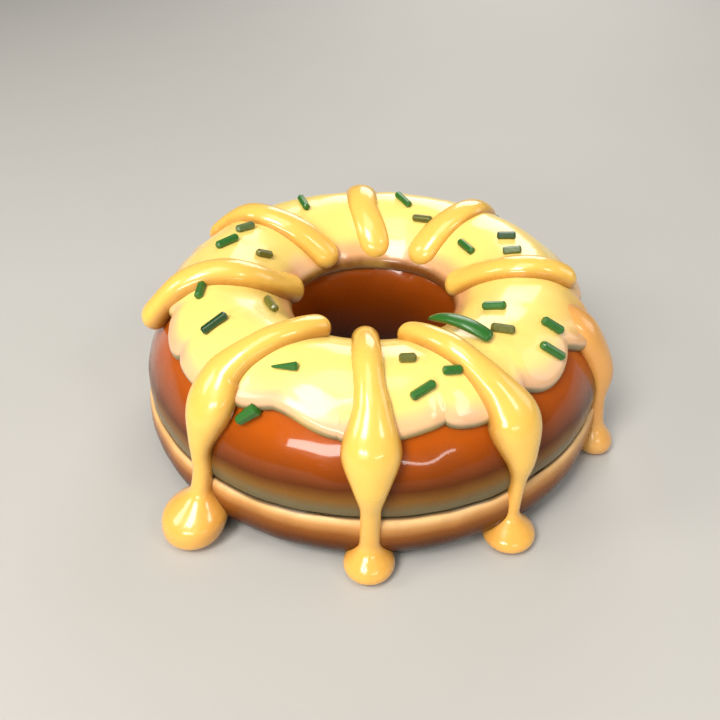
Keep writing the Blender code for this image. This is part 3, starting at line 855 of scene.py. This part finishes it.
@dataclass(frozen=True)
class DrizzleSet:
    """All the lines of drizzle: rings carried along their courses."""

    form: RingForm
    icing: float = 1.5 * MM
    stem_lift: float = 1.0 * MM
    bulge_flatness: float = 0.4
    end_lift: float = -0.5 * MM
    unevenness: float = 0.035
    course_steps: int = 500
    fall_steps: int = 260
    rings: int = 190
    sides: int = 40
    lines: tuple[DrizzleLine, ...] = (
        DrizzleLine("right", 353.8, 144.5, 62, 22.6, 91, 2.2, 3, 2.8 * MM, 0.77, 0.5 * MM),
        DrizzleLine("back_right", 47.4, 142.6, 41.5, 9.3, 88.5, 1.4, 5.5, 3.3 * MM, 0.6, 0),
        DrizzleLine("back", 94.1, 143, 20, -8.9, 103, 1.4, 0, 3.35 * MM, 0.62, -0.4 * MM,
                    Drop(96, 4.2 * MM, 1.7 * MM, 4.6 * MM, 1.9 * MM, 7 * MM, 46.6 * MM, 0.7)),
        DrizzleLine("back_left", 141.3, 144.6, 42, -21.1, 82.7, 1.65, 6, 3.25 * MM, 0.77, 0),
        DrizzleLine("left", 190.1, 146.5, 34, -26.2, 93, 3.1, 0, 3.0 * MM, 0.85, 0.5 * MM),
        DrizzleLine("front_left", 229.8, 118, 20, 17.6, 58, 1.4, 0, 2.5 * MM, 0.9, 0.1 * MM,
                    Drop(229.4, 4.65 * MM, 1.8 * MM, 6.1 * MM, 4.5 * MM, 9.8 * MM, 49.1 * MM, 0.45,
                         26.5 * MM, 16.5 * MM), 1.1 * MM),
        DrizzleLine("front", 268.9, 140, 20, -4.5, 60, 1.0, 0, 2.4 * MM, 0.95, 0.1 * MM,
                    Drop(268.7, 4.6 * MM, 1.75 * MM, 4.5 * MM, 2.1 * MM, 7 * MM, 45.4 * MM, 0.45,
                         24.5 * MM, 14 * MM)),
        DrizzleLine("front_right", 302, 121, 20, -18.8, 40, 1.5, 0, 2.4 * MM, 0.95, 0.1 * MM,
                    Drop(301.3, 4.45 * MM, 1.35 * MM, 4.6 * MM, 1.9 * MM, 7 * MM, 45.4 * MM, 0.5,
                         25 * MM, 13.5 * MM), 0.4 * MM))
    icing_run: DrizzleLine = DrizzleLine(
        "icing_run", 341, 84, 20, 0, 50, 1.0, 0, 2.9 * MM, 0.75, -0.35 * MM,
        Drop(341, 3.9 * MM, 1.6 * MM, 3.6 * MM, 2.2 * MM, 7 * MM, 46.6 * MM, 0.6, 27 * MM, 12 * MM),
        -9 * MM, 42)

    def course(self, line: DrizzleLine) -> tuple[Array, Array]:
        """Middle of a line: an arc with a swirl and a trail, then a fall that keeps the slope it starts with.

        Args:
            line: The line.

        Returns:
            Points along it, and the outward direction at each.
        """
        arc = np.linspace(line.arc_in, line.arc_out, self.course_steps)
        inward = np.clip((arc - line.bend) / (line.arc_in - line.bend), 0, 1)
        outward = np.clip((line.bend - arc) / (line.bend - line.arc_out), 0, 1)
        heading = line.heading + line.swirl * inward ** line.power + line.trail * outward ** 2
        low = self.stem_lift if line.drop else self.icing + self.end_lift
        level = self.icing + line.lift
        lift = ease(arc, (20, min(46, line.prop_from - 1), line.prop_from, 125),
                    (low, level, level, level + line.prop))
        points, outwards = self.form.on_ring(heading, arc, lift), self.form.outwards(heading, arc)
        if line.drop:
            height = np.linspace(points[-1, 2], 0, self.fall_steps)[1:]
            fall = 1 - height / points[-1, 2]
            share = smooth(fall, 0.2, 1)
            before, reach = np.hypot(*points[-2:, :2].T)
            slope = (reach - before) / (points[-2, 2] - points[-1, 2]) * points[-1, 2]
            reach = reach + (line.drop.reach - reach) * share + slope * fall * (1 - fall) ** 4
            turn = np.radians(heading[-1] + (line.drop.heading - heading[-1]) * share)
            points = np.concatenate([points, turned(turn, reach, height)])
            outwards = np.concatenate([outwards, turned(turn, 1.0, 0.0)])
        return soften(points), outwards

    def sizes(self, line: DrizzleLine, points: Array) -> tuple[Array, Array, Array]:
        """Sizes along a line: its radius eased over height, and a quarter ellipse at an end and under a pool.

        Args:
            line: The line.
            points: Points along its middle.

        Returns:
            Length along the line, sideways radius and outward radius.
        """
        run = np.concatenate([[0], np.cumsum(np.linalg.norm(np.diff(points, axis=0), axis=1))])
        wide = np.full(len(points), line.radius)
        if line.drop:
            drop = line.drop
            lows = (0, drop.pool_level, drop.flare, drop.stem_height, drop.bulge_height,
                    self.icing + self.form.upper_level + self.form.dough_rise)
            levels = (drop.pool * drop.foot, drop.pool, drop.stem, drop.stem, drop.bulge, line.radius)
            past = np.arange(len(points)) > int(np.argmax(points[:, 2]))
            wide = np.where(past, ease(points[:, 2], lows, levels), wide)
            rounded = drop.pool * (drop.foot + (1 - drop.foot) * quarter(points[:, 2] / drop.pool_level))
            wide = np.where(past & (points[:, 2] < drop.pool_level), rounded, wide)
        flat = wide * line.flat - self.bulge_flatness * np.clip(wide - line.radius, 0, None)
        share = smooth(points[:, 2], line.drop.stem_height, line.drop.bulge_height) if line.drop else 1
        wide, deep = soften(wide), soften(wide + (flat - wide) * share)
        from_end = run if line.drop else np.minimum(run, run[-1] - run)
        rounding = quarter(from_end / line.radius)
        return run, wide * rounding, deep * rounding

    def patch(self, line: DrizzleLine) -> Patch:
        """A line's surface: an oval ring at each station, level where the line pools.

        Args:
            line: The line.

        Returns:
            The surface, with how far each point faces outwards from the ring.
        """
        points, outwards = self.course(line)
        run, wide, deep = self.sizes(line, points)
        tip = line.radius * (1 - np.cos(np.radians(np.linspace(0, 90, 14))))
        if line.drop:
            stations = np.concatenate([tip, np.linspace(tip[-1], run[-1], self.rings)[1:]])
        else:
            middle = np.linspace(tip[-1], run[-1] - tip[-1], self.rings // 2)[1:-1]
            stations = np.concatenate([tip, middle, run[-1] - tip[::-1]])

        def at(values: Array) -> Array:
            """Values along the fine course, at the stations."""
            return np.stack([np.interp(stations, run, column) for column in np.atleast_2d(values.T)], axis=-1)

        centre, along, out = at(points), unit(at(np.gradient(points, axis=0))), at(outwards)
        if line.drop:
            level = smooth(centre[:, 2], line.drop.flare * 1.5, line.drop.flare)[:, None]
            along = unit(along * (1 - level) + np.array([0.0, 0.0, -1.0]) * level)
        out = unit(out - along * np.sum(out * along, axis=1)[:, None])
        side = np.cross(along, out)
        lump = 1 + self.unevenness * ripple(centre, 11 * MM, 31)
        wide, deep = at(wide)[:, 0] * lump, at(deep)[:, 0] * lump
        turn = np.linspace(0, 2 * math.pi, self.sides, endpoint=False)
        rings = (centre[:, None] + side[:, None] * (wide[:, None] * np.cos(turn))[..., None]
                 + out[:, None] * (deep[:, None] * np.sin(turn))[..., None])
        crest = np.broadcast_to(np.sin(turn), rings.shape[:2])
        if line.drop:
            rings = np.concatenate([rings, np.broadcast_to(centre[-1], (1, self.sides, 3))])
            crest = np.concatenate([crest, crest[-1:]])
        return Patch(self.form.settle(rings), {"crest": crest})

    def build(self, material: bpy.types.Material) -> bpy.types.Object:
        """Make all the lines, as one piece, with the drizzle's finish."""
        return piece_from("drizzle_lines", [self.patch(line) for line in self.lines], material)


@dataclass(frozen=True)
class Sprinkle:
    """One sprinkle; turn is from the ring's direction towards the hole."""

    heading: float
    arc: float
    turn: float
    length: float = 4.6 * MM
    lift: float = 0.0
    taper: float = 1.0
    girth: float = 1.0
    tint: SprinkleTint = SprinkleTint.GREEN


@dataclass(frozen=True)
class SprinkleSet:
    """All the sprinkles: short rods with six sides, their edges and ends a little worn."""

    form: RingForm
    icing: float = 1.5 * MM
    width: float = 1.6 * MM
    sink: float = 0.15
    wear: float = 7.0
    chamfer: float = 0.34 * MM
    face: float = 0.62
    rods: tuple[Sprinkle, ...] = (
        Sprinkle(120.6, 92.7, 79, 5.0 * MM), Sprinkle(153.3, 92, 152, 4.0 * MM, tint=SprinkleTint.GREY),
        Sprinkle(166.1, 90, 150, 5.1 * MM), Sprinkle(164.7, 115.2, 126, 3.4 * MM, tint=SprinkleTint.OLIVE),
        Sprinkle(197.2, 80.7, 159, 4.6 * MM), Sprinkle(216, 77.4, 87, 5.1 * MM, tint=SprinkleTint.DARK),
        Sprinkle(211.7, 117, 171, 4.7 * MM, tint=SprinkleTint.OLIVE),
        Sprinkle(245.3, 74.3, 17, 4.4 * MM, 0.0, 0.3), Sprinkle(239.6, 43.8, 50, 4.5 * MM, -1.2 * MM, 0.7, 1.6),
        Sprinkle(279.2, 85.3, 174, 2.8 * MM, tint=SprinkleTint.OLIVE), Sprinkle(290.4, 74, 170, 3.2 * MM),
        Sprinkle(281.4, 66.6, 24, 4.5 * MM), Sprinkle(75.7, 95.9, 133, 5.3 * MM),
        Sprinkle(62.7, 111.7, 6, 4.2 * MM, tint=SprinkleTint.OLIVE), Sprinkle(27.9, 118.8, 178, 4.8 * MM),
        Sprinkle(19.9, 94.4, 61, 3.7 * MM, tint=SprinkleTint.DARK),
        Sprinkle(8.3, 98.2, 73, 3.6 * MM, tint=SprinkleTint.GREY), Sprinkle(324.5, 103.1, 102, 4.2 * MM),
        Sprinkle(313.2, 85.6, 131, 4.0 * MM, tint=SprinkleTint.OLIVE), Sprinkle(328.2, 69.4, 111, 4.3 * MM),
        Sprinkle(321.5, 60.1, 122, 5.1 * MM), Sprinkle(48.5, 49.5, 174), Sprinkle(70, 48.5, 8),
        Sprinkle(79, 52, 165, tint=SprinkleTint.OLIVE), Sprinkle(104, 49, 170),
        Sprinkle(111, 52, 14, tint=SprinkleTint.DARK), Sprinkle(126, 49.5, 10))

    def patch(self, rod: Sprinkle) -> Patch:
        """A rod: a hexagon with worn corners, carried along its axis and drawn in at both ends.

        Args:
            rod: The sprinkle.

        Returns:
            Its surface, with its tint.
        """
        heading, arc = np.array(rod.heading), np.array(rod.arc)
        turn = math.radians(rod.heading)
        outwards = self.form.outwards(heading, arc)
        round_way = np.array([-math.sin(turn), math.cos(turn), 0.0])
        inward = np.cross(outwards, round_way)
        swing = math.radians(rod.turn)
        axis = round_way * math.cos(swing) + inward * math.sin(swing)
        side = np.cross(outwards, axis)
        centre = self.form.on_ring(heading, arc, self.icing + self.width * (0.5 - self.sink) + rod.lift)
        corners = np.radians((np.arange(6)[:, None] * 60 + np.array([-self.wear, self.wear])).ravel())
        rim = np.outer(np.cos(corners), side) + np.outer(np.sin(corners), outwards)
        half = rod.length / 2
        stations = np.array([-half, -half, self.chamfer - half, half - self.chamfer, half, half])
        sizes = np.array([0.0, self.face, 1.0, 1.0, self.face, 0.0]) * np.where(stations < 0, rod.taper, 1.0)
        rings = (centre + sizes[:, None, None] * (self.width / 2 * rod.girth * rim)
                 + stations[:, None, None] * axis)
        return Patch(self.form.settle(rings), {"tint": np.full(rings.shape[:2], rod.tint.value)})

    def build(self, material: bpy.types.Material) -> bpy.types.Object:
        """Make all the sprinkles, as one piece, with the sugar's finish."""
        return piece_from("sprinkles", [self.patch(rod) for rod in self.rods], material, rounded=False)


@dataclass(frozen=True)
class Sliver:
    """One long curved sliver beside the front right line, propped up at the hole."""

    form: RingForm
    icing: float = 1.5 * MM
    start: tuple[float, float, float] = (306.6, 83.0, 0.7 * MM)
    end: tuple[float, float, float] = (296.5, 117.0, 2.4 * MM)
    width: float = 3.1 * MM
    thickness: float = 1.7 * MM
    arch: float = 0.6 * MM
    blunt_share: float = 0.06
    tip_share: float = 0.2
    rings: int = 60
    sides: int = 28

    def patch(self) -> Patch:
        """An oval carried along an arch, widest before its middle and drawn to a tip.

        Returns:
            The sliver's surface, with its tint: green on top, and olive below as painted shade.
        """
        share = np.linspace(0, 1, self.rings)
        heading, arc, lift = (a + (b - a) * share for a, b in zip(self.start, self.end))
        centre = self.form.on_ring(heading, arc, self.icing + lift + self.arch * np.sin(np.pi * share))
        along = unit(np.gradient(centre, axis=0))
        side = unit(np.cross(along, self.form.outwards(heading, arc)))
        outwards = np.cross(side, along)
        size = 0.5 + 0.5 * np.sin(np.pi * (0.2 + 0.75 * share)) ** 0.8
        size = size * quarter(share / self.blunt_share) * quarter((1 - share) / self.tip_share)
        angles = np.linspace(0, 2 * math.pi, self.sides, endpoint=False)
        across, up = np.cos(angles), np.sin(angles)
        up = np.sign(up) * np.abs(up) ** 0.8
        rings = (centre[:, None] + (size * self.width / 2)[:, None, None] * side[:, None] * across[:, None]
                 + (size * self.thickness / 2)[:, None, None] * outwards[:, None] * up[:, None])
        # Painted shade: olive on the lower half, green on the upper.
        tint = np.where(up > -0.05, SprinkleTint.GREEN.value, SprinkleTint.OLIVE.value)
        return Patch(self.form.settle(rings), {"tint": np.broadcast_to(tint, rings.shape[:2])})

    def build(self, material: bpy.types.Material) -> bpy.types.Object:
        """Make the sliver, with the sugar's finish."""
        return piece_from("sliver", [self.patch()], material)


@dataclass(frozen=True)
class SoftBox:
    """A rectangular studio light."""

    name: str
    place: tuple[float, float, float]
    size: tuple[float, float]
    power: float
    colour: Colour = srgb(255, 252, 246)

    def build(self, target: Vector) -> bpy.types.Object:
        """Hang the light, facing a point.

        Args:
            target: Where it points.

        Returns:
            The light.
        """
        data = bpy.data.lights.new(self.name, "AREA")
        data.shape = "RECTANGLE"
        data.size, data.size_y = self.size
        data.energy = self.power
        data.color = self.colour
        lamp = show(self.name, data)
        lamp.location = self.place
        lamp.rotation_euler = (target - Vector(self.place)).to_track_quat("-Z", "Y").to_euler()
        return lamp


@dataclass(frozen=True)
class Studio:
    """The floor, the lights and the camera."""

    axis: tuple[float, float]
    floor_size: float = 1.6
    floor_colour: Colour = srgb(182, 181, 178)
    floor_mottle: Colour = srgb(206, 204, 200)
    sky: Colour = srgb(234, 232, 228)
    sky_strength: float = 0.16
    light_target: float = 15 * MM
    lens: float = 38.6
    sensor: float = 36.0
    camera_place: tuple[float, float, float] = (-2.565 * MM, -128.565 * MM, 107.595 * MM)
    camera_down: float = 37.1
    boxes: tuple[SoftBox, ...] = (
        SoftBox("key_light", (-0.212, -0.303, 0.473), (0.18, 0.22), 2.45, srgb(255, 250, 242)),
        SoftBox("right_light", (0.315, -0.284, 0.424), (0.11, 0.11), 0.4),
        SoftBox("left_light", (-0.479, -0.111, 0.344), (0.16, 0.16), 0.8, srgb(255, 250, 240)),
        SoftBox("top_light", (-0.05, -0.09, 0.590), (0.28, 0.28), 0.9),
        SoftBox("front_strip", (-0.217, -0.512, 0.225), (0.26, 0.075), 1.2),
        SoftBox("low_strip", (0.208, -0.541, 0.155), (0.24, 0.02), 0.22),
        SoftBox("back_light", (0.12, 0.52, 0.30), (0.3, 0.3), 1.3),
        SoftBox("far_side_light", (0.5, 0.1, 0.26), (0.24, 0.24), 0.4))

    def floor(self) -> bpy.types.Object:
        """A plain pale floor: one square face, with a faint mottle in its finish."""
        half = self.floor_size / 2
        mesh = bpy.data.meshes.new("floor")
        corners = [(-half, -half, 0), (half, -half, 0), (half, half, 0), (-half, half, 0)]
        mesh.from_pydata(corners, [], [(0, 1, 2, 3)])
        finish = FinishTree("pale_floor", Roughness=0.7)
        colour = finish.mix(finish.noise(30, 2.0) * 0.1, self.floor_colour, self.floor_mottle)
        mesh.materials.append(finish.dress(Base_Color=colour))
        item = show("floor", mesh)
        return item

    def lights(self) -> None:
        """Hang the soft lights and set the even light of the room."""
        target = Vector((*self.axis, self.light_target))
        for box in self.boxes:
            box.build(target)
        world = bpy.data.worlds.new("room")
        world.use_nodes = True
        background = world.node_tree.nodes["Background"]
        background.inputs["Color"].default_value = (*self.sky, 1.0)
        background.inputs["Strength"].default_value = self.sky_strength
        bpy.context.scene.world = world

    def camera(self) -> None:
        """Set the camera where the photograph was seen from."""
        data = bpy.data.cameras.new("camera")
        data.lens, data.sensor_width, data.clip_start = self.lens, self.sensor, 1 * MM
        item = show("camera", data)
        item.location = (self.axis[0] + self.camera_place[0], self.axis[1] + self.camera_place[1],
                         self.camera_place[2])
        item.rotation_euler = (math.radians(90 - self.camera_down), 0, 0)
        bpy.context.scene.camera = item

    def build(self) -> None:
        """Make the whole studio, shown with plain screen colours."""
        bpy.context.scene.view_settings.view_transform = "Standard"
        self.camera()
        self.lights()
        self.floor()


def ring_axis() -> tuple[float, float]:
    """Where the ring's axis stands: the middle of the dough's box less that of the turned outline.

    Returns:
        The axis, in the part's frame.
    """
    low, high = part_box("dough")
    points = DoughRing(RingForm(), unevenness=0.0, crease_line=0.0).patch().points.reshape(-1, 3)
    middle = (points.min(axis=0) + points.max(axis=0)) / 2
    return (low.x + high.x) / 2 - float(middle[0]), (low.y + high.y) / 2 - float(middle[1])


def keep(item: bpy.types.Object, node: str) -> None:
    """Let a piece stand for a node of the frame, and report it.

    Args:
        item: The piece.
        node: The node that it replaces.
    """
    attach(item, "root")
    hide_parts(node)
    LOG.info("%s: %d points, %d faces, stands for %s", item.name, len(item.data.vertices),
             len(item.data.polygons), node)


def main() -> None:
    """Build the studio and every piece, in order."""
    logging.basicConfig(level=logging.INFO, format="%(message)s")
    axis = ring_axis()
    LOG.info("axis at %.3f %.3f mm", axis[0] / MM, axis[1] / MM)
    form = RingForm(axis=axis)
    Studio(axis).build()
    sugar = SugarGreen().material()
    dough = DoughRing(form)
    crust = FriedCrust(axis, form.upper_level + form.dough_rise, dough.crease_height)
    keep(dough.build(crust.material()), "dough")
    drizzle = DrizzleSet(form)
    icing = IcingBlanket(form).build(ButterIcing().material(), drizzle.patch(drizzle.icing_run))
    keep(icing, "icing")
    keep(drizzle.build(ButterDrizzle().material()), "icing")
    keep(SprinkleSet(form).build(sugar), "icing")
    keep(Sliver(form).build(sugar), "icing")


if __name__ == "__main__":
    main()
